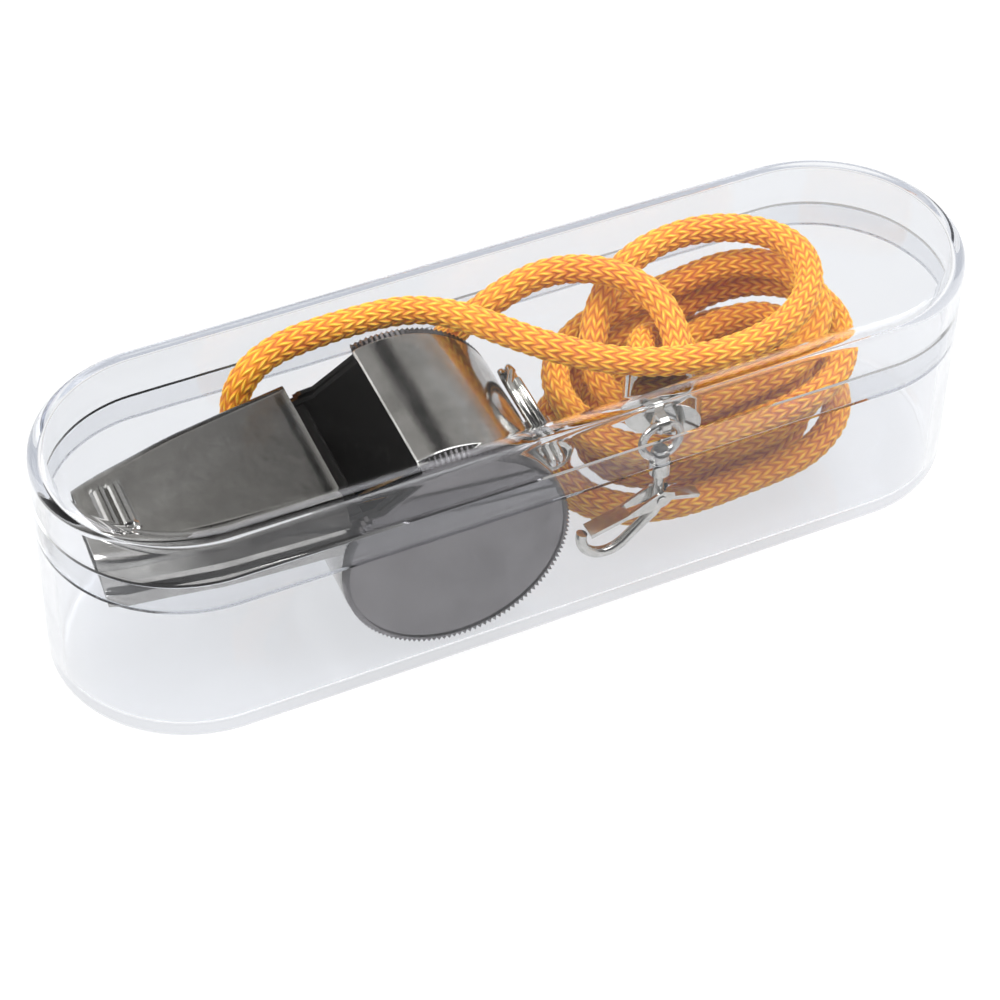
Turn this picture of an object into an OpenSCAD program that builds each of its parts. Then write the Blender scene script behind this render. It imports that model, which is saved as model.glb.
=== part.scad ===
/* [Case] */
// Length of the case over its round ends
case_l = 103.2; // [100:0.1:125]
// Width of the case
case_w = 30; // [29.5:0.1:36]
// Clear height between the whistle's barrel and the lid
head_gap = 0.45; // [0.35:0.05:6]
// Height of the seam between the base and the lid
seam_h = 17.9; // [12:0.1:20]
// Thickness of the side walls
case_wall = 1.3; // [1.2:0.05:1.6]
// Thickness of the floor
floor_t = 1.2; // [0.8:0.1:1.6]
// Thickness of the lid's flat top
lid_top_t = 1.1; // [0.8:0.1:1.4]
// Height that the base's inner rim rises inside the lid
rim_h = 3.2; // [2:0.1:5]
// Thickness of the base's inner rim
rim_t = 0.6; // [0.5:0.05:0.8]
// Running gap between the rim and the lid
rim_gap = 0.08; // [0.05:0.01:0.15]
// Rounding of the lid's top edge
lid_round = 1; // [0.4:0.1:1.2]

/* [Whistle body] */
// Outer radius of the barrel strip
barrel_r = 12.3; // [11.5:0.1:12.6]
// Width of the barrel strip
barrel_w = 18.8; // [16:0.1:19.4]
// Thickness of the sheet metal
sheet_t = 0.6; // [0.5:0.05:0.8]
// Reach from the barrel's axis to the tip of the mouthpiece
mouth_reach = 34.3; // [30:0.1:36]
// Width of the mouthpiece at its tip
tip_w = 11; // [9:0.1:14]
// Height of the mouthpiece over its two plates
mouth_h = 7.9; // [7:0.1:9]
// Depth of the top shell's turned-down sides
flange_d = 2.8; // [2:0.1:3.2]
// Height of the bottom shell's turned-up sides
lower_flange_d = 1.6; // [1:0.1:2.2]
// Height of the bite beads
bead_h = 0.5; // [0.3:0.05:0.7]
// Spare length between the mouthpiece's tip and the end of the case
end_gap = 5.2; // [4.8:0.1:7.5]
// Turn of the whistle in the case, seen from above, in degrees
whistle_yaw = 3; // [0:0.5:4]
// Droop of the mouthpiece, in degrees
whistle_pitch = 6.5; // [3:0.5:9]

/* [Side caps] */
// Thickness of a side cap
cap_t = 1.2; // [0.9:0.05:1.4]
// Width of the milled rim of a side cap
rim_band = 0.8; // [0.5:0.05:1.2]
// Depth of the flat face inside the milled rim
dish_d = 0.2; // [0.1:0.05:0.4]
// Number of teeth round a side cap
rim_teeth = 72; // [48:4:96]

/* [Pea] */
// Radius of the cork pea
pea_r = 5.2; // [4:0.1:5.6]

/* [Lug and ring] */
// Width of the lug on the back of the barrel
lug_w = 3.2; // [2.5:0.1:3.6]
// Radius of the hole in the lug
lug_bore_r = 1.35; // [1.3:0.05:1.5]
// Mean radius of the split ring
ring_r = 5; // [4.6:0.1:5.3]
// Diameter of the split ring's wire
ring_wire_d = 0.9; // [0.7:0.05:0.95]

/* [Snap hook] */
// Diameter of the hook's wire
hook_wire_d = 1.2; // [1:0.05:1.3]
// Inner radius of the hook's bowl
bowl_r = 2.4; // [2:0.1:2.8]
// Distance from the bowl's centre to the gate's rivet, along the case
rivet_x = 5.8; // [5.4:0.1:6.4]
// Height of the gate's rivet above the bowl's centre
rivet_z = 2.6; // [2.2:0.1:3]
// Length of the shank above the rivet
shank_l = 3.4; // [3:0.1:3.8]
// Radius of the swivel's stud
stud_r = 0.5; // [0.4:0.05:0.6]
// Thickness of the spring gate
gate_t = 0.5; // [0.4:0.05:0.6]
// Length of the gate's thumb tab
tab_l = 3.8; // [3:0.1:4.5]
// Mean radius of the swivel's eye
eye_r = 2.2; // [2:0.1:2.4]
// Diameter of the eye's wire
eye_wire_d = 0.9; // [0.8:0.05:1]

/* [Cord] */
// Diameter of the cord
cord_d = 3.2; // [2.8:0.1:3.2]
// Length of the crimped ferrule
ferrule_l = 5.5; // [4.5:0.1:6]
// Wall of the crimped ferrule
ferrule_t = 0.5; // [0.4:0.05:0.6]

/* [Hidden] */
$fn = 64;
cut = 0.5;

// Clearances: between pieces that lie beside each other, and between pieces that fit
seat_gap = 0.25;
fit_gap = 0.03;

// Case, as high inside as the barrel needs
case_h = floor_t + seat_gap + 2 * barrel_r + head_gap + lid_top_t;
end_r = case_w / 2;
end_x = case_l / 2 - end_r;
inner_r = end_r - case_wall;
ceiling_z = case_h - lid_top_t;
rim_outer_r = inner_r + rim_t;

// Whistle
inner_barrel_r = barrel_r - sheet_t;
wide_hw = barrel_w / 2;
plate_out_y = wide_hw - sheet_t - fit_gap;
plate_in_y = plate_out_y - sheet_t;
over_w = 2 * (plate_out_y + cap_t);
cap_r = inner_barrel_r - fit_gap;
top_rise_share = 0.3;
top_h = barrel_r + top_rise_share * sheet_t;
bottom_h = top_h - mouth_h;
whistle_x = -case_l / 2 + end_gap + mouth_reach;
whistle_y = -(inner_r - seat_gap - over_w / 2 * cos(whistle_yaw) - cap_r * sin(whistle_yaw));
whistle_z = floor_t + seat_gap + barrel_r;

module at_whistle() {
    translate([whistle_x, whistle_y, whistle_z])
        rotate([0, 0, -whistle_yaw]) rotate([0, -whistle_pitch, 0]) children();
}

// Window: the edge of the top shell, and the lip at the end of the barrel strip
window_share = 0.84;
notch_share = 0.6;
window_u = window_share * barrel_r;
notch_u = notch_share * barrel_r;
lip_angle = 101.5;
strip_end_angle = 131;
notch_floor_h = top_h - flange_d;

// Plan of the mouthpiece: straight sides, then shoulders, then the round tip
shoulder_share = 0.55;
waist_share = 0.02;
belly_share = 0.04;
corner_share = 0.8;
shoulder_u = window_u + shoulder_share * (mouth_reach - window_u);
tip_start_u = mouth_reach - tip_w / 6;
shoulder_hw = wide_hw * (1 - waist_share);
tip_hw = tip_w / 2;

function mouth_side(inset, from_u) = [
    [-from_u, wide_hw - inset],
    [-shoulder_u, shoulder_hw - inset],
    [-(shoulder_u + tip_start_u) / 2, (shoulder_hw + tip_hw) / 2 + belly_share * wide_hw - inset],
    [-tip_start_u, tip_hw - inset]
];
function flip(pts) = [for (i = [len(pts) - 1 : -1 : 0]) [pts[i][0], -pts[i][1]]];

// Outline of the mouthpiece in plan, drawn in by inset on its two sides
module mouth_plan(inset, from_u, reach) {
    side = mouth_side(inset, from_u);
    corner = corner_share * (tip_hw - inset);
    polygon(concat(side, [[-reach, corner], [-reach, -corner]], flip(side)));
}

// Side walls of the mouthpiece between two insets, open at both ends
module mouth_walls(outer, inner, from_u) {
    difference() {
        mouth_plan(outer, from_u, mouth_reach);
        mouth_plan(inner, from_u - cut, mouth_reach);
        translate([-mouth_reach - cut, -corner_share * (tip_hw - inner)])
            square([2 * cut, 2 * corner_share * (tip_hw - inner)]);
    }
}

// Case

module stadium(r) {
    for (s = [-1, 1]) translate([s * end_x, 0]) circle(r = r);
    translate([-end_x, -r]) square([2 * end_x, 2 * r]);
}

module slab(r, h) {
    linear_extrude(h) stadium(r);
}

module case_base() {
    color("whitesmoke") difference() {
        union() {
            slab(end_r, seam_h);
            slab(rim_outer_r, seam_h + rim_h);
        }
        translate([0, 0, floor_t]) slab(inner_r, case_h);
    }
}

// Half of the lid's section, from its middle line to its rounded edge
edge_steps = 6;
module lid_section() {
    polygon(concat(
        [[0, seam_h], [end_r, seam_h]],
        [for (i = [0 : edge_steps]) [
            end_r - lid_round * (1 - cos(90 * i / edge_steps)),
            case_h - lid_round * (1 - sin(90 * i / edge_steps))
        ]],
        [[0, case_h]]
    ));
}

module case_lid() {
    color("ghostwhite") difference() {
        union() {
            for (s = [-1, 1]) translate([s * end_x, 0, 0]) rotate_extrude() lid_section();
            for (s = [0, 1]) mirror([0, s, 0]) rotate([90, 0, 90])
                linear_extrude(2 * end_x, center = true) lid_section();
        }
        translate([0, 0, seam_h - cut]) slab(rim_outer_r + rim_gap, rim_h + cut + rim_gap);
        translate([0, 0, seam_h]) slab(inner_r, ceiling_z - seam_h);
    }
}

// Whistle body

module top_shell() {
    color("silver") at_whistle() {
        translate([0, 0, top_h - sheet_t]) linear_extrude(sheet_t)
            mouth_plan(0, window_u, mouth_reach);
        translate([0, 0, top_h - flange_d]) linear_extrude(flange_d)
            mouth_walls(0, sheet_t, window_u);
        for (k = [0, 1]) translate([-tip_start_u + 3 * k * bead_h, 0, top_h - bead_h])
            rotate([90, 0, 0])
                cylinder(r = 2 * bead_h, h = corner_share * tip_w, center = true, $fn = 24);
    }
}

module lower_shell() {
    color("silver") at_whistle() difference() {
        union() {
            translate([0, 0, bottom_h]) linear_extrude(sheet_t)
                mouth_plan(0, window_u, mouth_reach);
            translate([0, 0, bottom_h]) linear_extrude(lower_flange_d)
                mouth_walls(0, sheet_t, window_u);
        }
        rotate([90, 0, 0]) cylinder(r = barrel_r + fit_gap, h = 2 * barrel_w, center = true);
    }
}

// The ramp that narrows the windway towards the window
module windway_floor() {
    color("gray") at_whistle() difference() {
        intersection() {
            translate([0, 0, bottom_h]) linear_extrude(mouth_h)
                mouth_plan(2 * (sheet_t + fit_gap), notch_u, mouth_reach);
            rotate([90, 0, 0]) linear_extrude(2 * barrel_w, center = true) polygon([
                [-mouth_reach + sheet_t, bottom_h + sheet_t + fit_gap],
                [-mouth_reach + sheet_t, bottom_h + 2 * sheet_t],
                [-notch_u - 2 * sheet_t, notch_floor_h],
                [-notch_u - 2 * sheet_t, notch_floor_h - sheet_t]
            ]);
        }
        rotate([90, 0, 0]) cylinder(r = barrel_r + fit_gap, h = 2 * barrel_w, center = true);
    }
}

module barrel_strip() {
    far = 2 * barrel_r;
    slot = plate_in_y - fit_gap;
    color("silver") at_whistle() difference() {
        rotate([90, 0, 0]) difference() {
            cylinder(r = barrel_r, h = barrel_w, center = true, $fn = 96);
            cylinder(r = inner_barrel_r, h = barrel_w + cut, center = true, $fn = 96);
            linear_extrude(barrel_w + cut, center = true) polygon([
                [0, 0],
                far * [cos(lip_angle), sin(lip_angle)],
                far * [cos(strip_end_angle), sin(strip_end_angle)]
            ]);
        }
        for (s = [-1, 1]) translate([-far, s > 0 ? slot : -far - slot, bottom_h - fit_gap])
            cube([far, far, far / 2]);
    }
}

// One side plate: a disc that closes the barrel, and one wall of the mouthpiece
module side_plate(side) {
    color("lightgray") at_whistle() mirror([0, side < 0 ? 1 : 0, 0]) {
        translate([0, plate_out_y, 0]) rotate([90, 0, 0]) {
            linear_extrude(sheet_t) difference() {
                circle(r = cap_r, $fn = 96);
                translate([-barrel_r - cut, notch_floor_h]) square([barrel_r - notch_u + cut, barrel_r]);
            }
            linear_extrude(sheet_t) polygon([
                [0, 0], [cap_r * cos(lip_angle), cap_r * sin(lip_angle)],
                [-notch_u, notch_floor_h], [-window_u, notch_floor_h], [-window_u, bottom_h]
            ]);
        }
        intersection() {
            translate([0, 0, bottom_h + sheet_t + fit_gap])
                linear_extrude(mouth_h - 2 * (sheet_t + fit_gap))
                    mouth_walls(sheet_t + fit_gap, 2 * sheet_t + fit_gap, window_u);
            translate([-2 * mouth_reach, 0, -mouth_reach])
                cube([2 * mouth_reach, mouth_reach, 2 * mouth_reach]);
        }
    }
}

module side_plate_front() side_plate(-1);
module side_plate_rear() side_plate(1);

// Pressed disc with a milled rim, set into the barrel strip's edge
module side_cap(side) {
    tooth = rim_band / 6;
    rim = [for (i = [0 : 2 * rim_teeth - 1])
        (cap_r - tooth * (i % 2)) * [cos(180 * i / rim_teeth), sin(180 * i / rim_teeth)]];
    color("darkgray") at_whistle() mirror([0, side < 0 ? 1 : 0, 0])
        translate([0, plate_out_y + cap_t, 0]) rotate([90, 0, 0]) difference() {
            linear_extrude(cap_t) polygon(rim);
            translate([0, 0, -cut]) cylinder(r = cap_r - rim_band, h = cut + dish_d, $fn = 96);
        }
}

module side_cap_front() side_cap(-1);
module side_cap_rear() side_cap(1);

module cork_pea() {
    color("peru") translate([whistle_x, whistle_y, whistle_z])
        rotate([0, 0, -whistle_yaw])
            translate([0, 0, -(inner_barrel_r - seat_gap - pea_r)]) sphere(r = pea_r);
}

// Lug and split ring at the back of the barrel
lug_angle = -3;
lug_wall = 0.65;
lug_r = lug_bore_r + lug_wall;
lug_at = barrel_r + lug_r - fit_gap;

module ring_lug() {
    color("silver") at_whistle() rotate([0, -lug_angle, 0]) difference() {
        union() {
            translate([lug_at, 0, 0]) rotate([90, 0, 0]) cylinder(r = lug_r, h = lug_w, center = true);
            translate([lug_at - lug_r - cut, -lug_w / 2, -lug_r])
                cube([lug_r + cut - lug_bore_r, lug_w, 2 * lug_r]);
        }
        translate([lug_at, 0, 0]) rotate([90, 0, 0])
            cylinder(r = lug_bore_r, h = lug_w + cut, center = true);
        rotate([90, 0, 0]) cylinder(r = barrel_r, h = barrel_w, center = true, $fn = 96);
    }
}

// The ring leans on the barrel: its turn keeps the two coils clear of the strip
coil_share = 0.48;
ring_lean = asin((barrel_r + ring_wire_d + seat_gap) / lug_at);

module split_ring() {
    color("silver") at_whistle() rotate([0, -lug_angle, 0]) translate([lug_at, 0, 0])
        rotate([0, ring_lean - 180, 0])
            for (s = [-1, 1]) translate([ring_r, 0, s * coil_share * ring_wire_d])
                rotate_extrude() translate([ring_r, 0]) circle(d = ring_wire_d);
}

// Snap hook, flat against the front wall
keeper_r = 1.05;
hook_gap = 1.43;
hook_y = -(inner_r - seat_gap - keeper_r);
hook_z = 9.4;
bowl_mean = bowl_r + hook_wire_d / 2;
hook_x = whistle_x + cap_r + hook_gap + bowl_mean + hook_wire_d / 2;
tip_rise = 12;
collar_r = 1.15;
collar_h = 1.6;
swivel_gap = 0.1;
rivet_r = 0.3;
rivet_head_r = 0.55;
rivet_head_t = 0.15;
cheek_t = 0.3;
cheek_gap = 0.05;
gate_hw = hook_wire_d / 2 + cheek_gap + cheek_t;
stud_head_r = 0.8;
stud_head_t = 0.35;

module at_hook() {
    translate([hook_x, hook_y, hook_z]) children();
}

// The wire runs round the bowl, rises on a slope, and bends up into the shank
rise = 40;
bend_r = 2;
slope_x = bowl_mean * sin(rise);
slope_l = (rivet_x - slope_x - bend_r * (1 - sin(rise))) / cos(rise);
bend_z = slope_l * sin(rise) - bowl_mean * cos(rise);
shank_z = bend_z + bend_r * cos(rise);
shank_top = rivet_z + shank_l;
eye_z = shank_top + collar_h + swivel_gap + eye_r + eye_wire_d / 2;

// Arc of wire in the hook's plane, from one angle to another
module wire_arc(r, from, to) {
    rotate([90, 0, 0]) rotate([0, 0, from]) rotate_extrude(angle = to - from)
        translate([r, 0]) circle(d = hook_wire_d);
}

// Straight wire, a hair thinner than the bends, that runs a little into both of its ends
module wire_rod(l) {
    translate([0, 0, -seat_gap]) cylinder(d = hook_wire_d - 2 * fit_gap, h = l + 2 * seat_gap);
}

module hook_body() {
    color("silver") at_hook() difference() {
        union() {
            wire_arc(bowl_mean, 180 - tip_rise, 270 + rise);
            translate([slope_x, 0, -bowl_mean * cos(rise)]) rotate([0, 90 - rise, 0])
                wire_rod(slope_l);
            translate([rivet_x - bend_r, 0, shank_z]) wire_arc(bend_r, rise - 90, 0);
            translate([rivet_x, 0, shank_z]) wire_rod(shank_top - shank_z);
            translate([rivet_x, 0, shank_top]) cylinder(r = collar_r, h = collar_h);
        }
        translate([rivet_x, 0, shank_top + hook_wire_d / 2])
            cylinder(r = stud_r + fit_gap, h = collar_h);
        translate([rivet_x, 0, rivet_z]) rotate([90, 0, 0])
            cylinder(r = rivet_r + fit_gap, h = 2 * hook_wire_d, center = true);
    }
}

// The gate straddles the shank on two cheeks and closes the bowl inside the tip
gate_end = [-bowl_mean * cos(tip_rise) + hook_wire_d / 2 + cheek_gap, bowl_mean * sin(tip_rise)];
gate_run = gate_end - [rivet_x, rivet_z];
gate_l = norm(gate_run);
gate_dip = atan2(-gate_run[1], -gate_run[0]);
gate_clear = 3 * hook_wire_d;
tab_clear = 0.9 * hook_wire_d;
tab_angle = 16;

module gate_bar() {
    rotate(gate_dip) translate([-gate_l, -gate_t / 2]) square([gate_l - gate_clear, gate_t]);
}

module gate_tab() {
    rotate(-tab_angle) translate([tab_clear, -gate_t / 2]) square([tab_l, gate_t]);
}

module cheek_profile() {
    polygon([
        [-gate_clear - gate_t, -gate_t / 2], [-gate_clear - gate_t, gate_t / 2],
        [-gate_t, 2 * gate_t], [gate_t, 2 * gate_t],
        [tab_clear + gate_t, gate_t / 2], [tab_clear + gate_t, -gate_t / 2],
        [gate_t, -2 * gate_t], [-gate_t, -2 * gate_t]
    ]);
}

module spring_gate() {
    color("silver") at_hook() translate([rivet_x, 0, rivet_z]) rotate([90, 0, 0]) difference() {
        union() {
            linear_extrude(2 * gate_hw, center = true) gate_bar();
            linear_extrude(2 * (gate_hw - cheek_t) + fit_gap, center = true) gate_tab();
            for (s = [-1, 1]) translate([0, 0, s * (gate_hw - cheek_t / 2)])
                linear_extrude(cheek_t, center = true) rotate(gate_dip) cheek_profile();
        }
        cylinder(r = rivet_r + fit_gap, h = 3 * gate_hw, center = true);
    }
}

module gate_rivet() {
    color("silver") at_hook() translate([rivet_x, 0, rivet_z]) rotate([90, 0, 0]) {
        cylinder(r = rivet_r, h = 2 * (gate_hw + rivet_head_t), center = true);
        for (s = [-1, 1]) translate([0, 0, s * (gate_hw + rivet_head_t / 2 + fit_gap)])
            cylinder(r = rivet_head_r, h = rivet_head_t, center = true);
    }
}

module swivel_stud() {
    foot = shank_top + hook_wire_d / 2 + fit_gap;
    head = eye_z - sqrt(pow(eye_r - eye_wire_d / 2, 2) - pow(stud_head_r, 2)) + fit_gap;
    color("silver") at_hook() translate([rivet_x, 0, foot]) {
        cylinder(r = stud_r, h = head - foot);
        translate([0, 0, head - foot]) cylinder(r = stud_head_r, h = stud_head_t);
    }
}

module swivel_eye() {
    color("silver") at_hook() translate([rivet_x, 0, eye_z]) difference() {
        union() {
            rotate([90, 0, 0]) rotate_extrude() translate([eye_r, 0]) circle(d = eye_wire_d);
            translate([0, 0, -eye_r - eye_wire_d / 2]) cylinder(r = 2 * stud_r, h = eye_wire_d);
        }
        translate([0, 0, -2 * eye_r]) cylinder(r = stud_r + fit_gap, h = 2 * eye_r);
    }
}

// Crimped ferrule that holds both ends of the cord, with a keeper round the eye
strand_pitch = cord_d + cut;
ferrule_turn = 30;
ferrule_drop = 1.35;
ferrule_from = 2.2;
keeper_w = 1;
keeper_bore_r = 0.6;
ferrule_r = cord_d / 2 + ferrule_t;

module at_keeper() {
    translate([hook_x + rivet_x, hook_y, hook_z + eye_z + eye_r]) children();
}

module cord_ferrule() {
    color("silver") at_keeper() {
        difference() {
            union() {
                rotate([0, 90, 0]) cylinder(r = keeper_r, h = keeper_w, center = true);
                translate([-keeper_w / 2, 0, -keeper_r]) cube([keeper_w, ferrule_from + cut, 2 * keeper_r]);
            }
            rotate([0, 90, 0]) cylinder(r = keeper_bore_r, h = 2 * keeper_w, center = true);
        }
        rotate([0, 0, -ferrule_turn]) translate([0, ferrule_from + ferrule_l, -ferrule_drop])
            rotate([90, 0, 0]) linear_extrude(ferrule_l) {
                for (s = [-1, 1]) translate([s * strand_pitch / 2, 0]) circle(r = ferrule_r);
                square([strand_pitch, 2 * ferrule_r], center = true);
            }
    }
}

// Hank: each layer winds in or out by one loop, and the next half loop climbs to the layer
// above or below. The right end is lifted, and the loops are drawn in towards the left.
loops = 5.5;
layer_loops = 1.5;
layers = 4;
loop_rings = 24;
lay_gap = 0.4;
hank_step = 4.6;
hank_end_r = 11;
hank_left = 4.2;
hank_right = 38.4;
hank_y = 0.7;
hank_lift = 5.6;
lean_share = 0.15;
draw_in_share = 0.07;
hank_pitch = cord_d + 2 * lay_gap;
hank_bottom = floor_t + cord_d / 2 + lay_gap;
hank_top = hank_bottom + (layers - 1) * hank_pitch;

function on_arc(x, r, a) = [x + r * cos(a), r * sin(a)];

// Point of an oval loop with straight sides of length leg, s along its outermost line
function on_oval(s, left, r, leg, quarter) =
    s < quarter ? on_arc(left, r, 180 + 90 * s / quarter)
    : s < quarter + leg ? [left + s - quarter, -r]
    : s < 3 * quarter + leg ? on_arc(left + leg, r, 90 * (s - leg) / quarter - 180)
    : s < 3 * quarter + 2 * leg ? [left + 2 * leg + 3 * quarter - s, r]
    : on_arc(left, r, 90 * (s - 2 * leg) / quarter - 180);

// Point of the hank, t in loops from its top layer down
function hank_point(t) =
    let (
        layer = floor(t / layer_loops),
        wound = min(t - layer_loops * layer, 1),
        climb = (t - layer_loops * layer - wound) / (layer_loops - 1),
        z = hank_top - hank_pitch * (layer + climb),
        inset = hank_step * (layer % 2 == 0 ? 1 - wound : wound),
        left = hank_left + lean_share * (z - hank_bottom),
        leg = hank_right - left - 2 * hank_end_r,
        quarter = PI * hank_end_r / 2,
        s = (t - floor(t)) * (2 * leg + 4 * quarter),
        p = on_oval(s, left + hank_end_r, hank_end_r - inset, leg, quarter),
        from_right = (hank_right - p[0]) / (hank_right - hank_left)
    )
    [p[0], hank_y + p[1] * (1 - draw_in_share * from_right),
     z + hank_lift * pow(max(0, (p[0] - left) / (hank_right - left)), 1.5)];

// The cord's two ends leave the ferrule side by side, and run free to the hank
function ferrule_exit(s) = [
    hook_x + rivet_x + (ferrule_from + ferrule_l) * sin(ferrule_turn)
        + s * strand_pitch / 2 * cos(ferrule_turn),
    hook_y + (ferrule_from + ferrule_l) * cos(ferrule_turn)
        - s * strand_pitch / 2 * sin(ferrule_turn),
    hook_z + eye_z + eye_r - ferrule_drop
];
ferrule_way = [sin(ferrule_turn), cos(ferrule_turn), 0];

over_run = [
    [17.4, -4, 20.7], [18.5, -0.4, 21.8], [18.1, 3.2, 23.4], [15.8, 6.7, 24.4],
    [12.2, 9.5, 24.5], [8, 11.1, 23.8], [3.4, 11.5, 21.8], [-7, 11.4, 16],
    [-16.2, 11, 11.9], [-20.6, 10.8, 11.4], [-25.3, 10.6, 13.3], [-27.2, 10.6, 18],
    [-25.3, 10.8, 22.6], [-20.6, 11.2, 24.4], [-10, 11.4, 24.5], [-5.2, 9.8, 24.6],
    [-1.6, 6.4, 24.6], [1.6, 1.8, 24.6], [5.6, -2.8, 24.6], [10, -6.3, 24.6],
    [15.6, -8.6, 24.6], [21.6, -9.2, 24.6], [27.4, -7.8, 24.6], [32.2, -4.4, 24.5],
    [34.8, 0.2, 24.4], [34.8, 4.8, 24.2], [32, 8.8, 23.8], [27.6, 11.2, 23.4],
    [23, 11.7, 22.8], [18.8, 11.1, 21.8], [15.4, 9.2, 20.4], [12.7, 6.5, 18.6],
    [11.1, 3.6, 16.8]
];
under_run = [
    [33.7, 3.9, 7.8], [31.4, 5.6, 8], [28.4, 5, 8.5], [25.7, 3.3, 10.3], [23.3, 2.2, 13.2],
    [21, 2.5, 16], [18.6, 2.9, 18], [16, 1.9, 19.4], [14.4, -0.6, 20.3], [13.5, -3.1, 20.6]
];
over_end = over_run[len(over_run) - 1];
over_line = concat([ferrule_exit(1)], over_run);
under_line = concat(under_run, [ferrule_exit(-1)]);
hank_line = concat(
    [over_end],
    [for (i = [0 : loops * loop_rings]) hank_point(i / loop_rings)],
    [under_run[0]]
);

// Smooth curve through the points of a line, mirrored past its ends
function past(p, i) =
    i < 0 ? 2 * p[0] - p[1]
    : i < len(p) ? p[i]
    : 2 * p[len(p) - 1] - p[len(p) - 2];
function spline(p, i, t) =
    let (a = past(p, i - 1), b = p[i], c = p[i + 1], d = past(p, i + 2))
    b + ((c - a) * t + (2 * a - 5 * b + 4 * c - d) * t * t + (3 * b - a - 3 * c + d) * t * t * t) / 2;
function smooth(p, steps) = concat(
    [for (i = [0 : len(p) - 2]) for (k = [0 : steps - 1]) spline(p, i, k / steps)],
    [p[len(p) - 1]]
);

// Two directions across the line at each point, carried along it without twist
function unit(v) = v / norm(v);
function across(ways, i = 0, up = [0, 0, 1]) =
    i == len(ways) ? []
    : let (m = unit(up - (up * ways[i]) * ways[i]))
        concat([[m, cross(ways[i], m)]], across(ways, i + 1, m));

// Tube along a line, with its two ends square to the given ways
module tube(line, sides, way_in, way_out) {
    last = len(line) - 1;
    ways = [for (i = [0 : last])
        i == 0 ? way_in : i == last ? way_out : unit(line[i + 1] - line[i - 1])];
    sets = across(ways);
    skin = [for (i = [0 : last]) for (k = [0 : sides - 1])
        line[i] + cord_d / 2 * (cos(360 * k / sides) * sets[i][0] + sin(360 * k / sides) * sets[i][1])];
    walls = [for (i = [0 : last - 1]) for (k = [0 : sides - 1])
        let (a = i * sides + k, b = i * sides + (k + 1) % sides)
        each [[a, b + sides, b], [a, a + sides, b + sides]]];
    ends = [for (k = [1 : sides - 2])
        each [[0, k, k + 1], [last * sides, last * sides + k + 1, last * sides + k]]];
    polyhedron(skin, concat(walls, ends));
}

module cord_run() {
    color("orange") {
        tube(smooth(over_line, 2), 8, ferrule_way, unit(hank_point(0) - over_end));
        tube(under_line, 8, unit(under_run[0] - hank_point(loops)), -ferrule_way);
    }
}

// Least gap of a line's tube to itself, between points at least skip places apart
function least_gap(p, skip) =
    min([for (i = [0 : len(p) - 1 - skip]) for (j = [i + skip : len(p) - 1]) norm(p[i] - p[j])]) - cord_d;

module cord_hank() {
    echo(hank_gap = least_gap(smooth(hank_line, 4), 2 * loop_rings));
    color("orange") tube(hank_line, 6, unit(hank_point(0) - over_end),
        unit(under_run[0] - hank_point(loops)));
}

case_base();
case_lid();
top_shell();
lower_shell();
windway_floor();
barrel_strip();
side_plate_front();
side_plate_rear();
side_cap_front();
side_cap_rear();
cork_pea();
ring_lug();
split_ring();
hook_body();
spring_gate();
gate_rivet();
swivel_stud();
swivel_eye();
cord_ferrule();
cord_run();
cord_hank();
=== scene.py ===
"""Sports whistle with a split ring, a snap hook and a neck cord, packed in a clear two-part case."""

import logging
import math
from dataclasses import dataclass, field
from enum import Enum
from functools import partial
from typing import Any, Callable, Optional, Sequence

import bpy
import numpy as np
from mathutils import Matrix, Vector


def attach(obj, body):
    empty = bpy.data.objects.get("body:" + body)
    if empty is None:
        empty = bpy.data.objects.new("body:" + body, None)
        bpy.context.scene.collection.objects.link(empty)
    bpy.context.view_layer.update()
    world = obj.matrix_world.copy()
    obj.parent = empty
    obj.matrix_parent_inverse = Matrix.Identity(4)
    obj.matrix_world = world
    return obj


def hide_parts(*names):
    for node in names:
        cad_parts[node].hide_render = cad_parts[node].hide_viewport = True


LOG = logging.getLogger("whistle")
MM = 0.001
TAU = 2 * math.pi
SMOOTH_DEG = 25.0
FOLD_DEG = 50.0
LAID = (math.pi / 2, 0, 0)
Point = tuple[float, float, float]
Pair = tuple[float, float]
Pairs = tuple[Pair, ...]
Stops = Sequence[tuple[float, str]]
Tree = bpy.types.NodeTree
Piece = bpy.types.Object


class Body(str, Enum):
    """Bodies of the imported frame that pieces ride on."""

    WHISTLE = "whistle"
    BASE = "case_base"
    LID = "case_lid"
    PEA = "pea"
    RING = "ring"
    HOOK = "hook"
    GATE = "gate"


class Slot(str, Enum):
    """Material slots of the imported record."""

    NICKEL = "nickel"
    STEEL = "steel"
    CORK = "cork"
    CLEAR = "clear_case"
    CORD = "cord"


def linear(code: str) -> tuple[float, float, float, float]:
    """Turns an sRGB hex code into a linear colour.

    Args:
        code: Six hex digits after a hash sign.

    Returns:
        Red, green, blue and an alpha of one.
    """
    parts = [int(code[i : i + 2], 16) / 255 for i in (1, 3, 5)]
    red, green, blue = (c / 12.92 if c <= 0.04045 else ((c + 0.055) / 1.055) ** 2.4 for c in parts)
    return red, green, blue, 1.0


# Materials


def put(tree: Tree, kind: str, links: Optional[dict[Any, Any]] = None, **settings: Any) -> Any:
    """Adds one node with its settings and links.

    Args:
        tree: Node tree that gets the node.
        kind: Blender's name of the node type, without ShaderNode.
        links: For each input, by name or number, a socket to link or a value to set.
        settings: Attributes of the node.

    Returns:
        The new node.
    """
    node = tree.nodes.new("ShaderNode" + kind)
    for name, value in settings.items():
        setattr(node, name, value)
    for name, value in (links or {}).items():
        if isinstance(value, bpy.types.NodeSocket):
            tree.links.new(value, node.inputs[name])
        else:
            node.inputs[name].default_value = value
    return node


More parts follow.
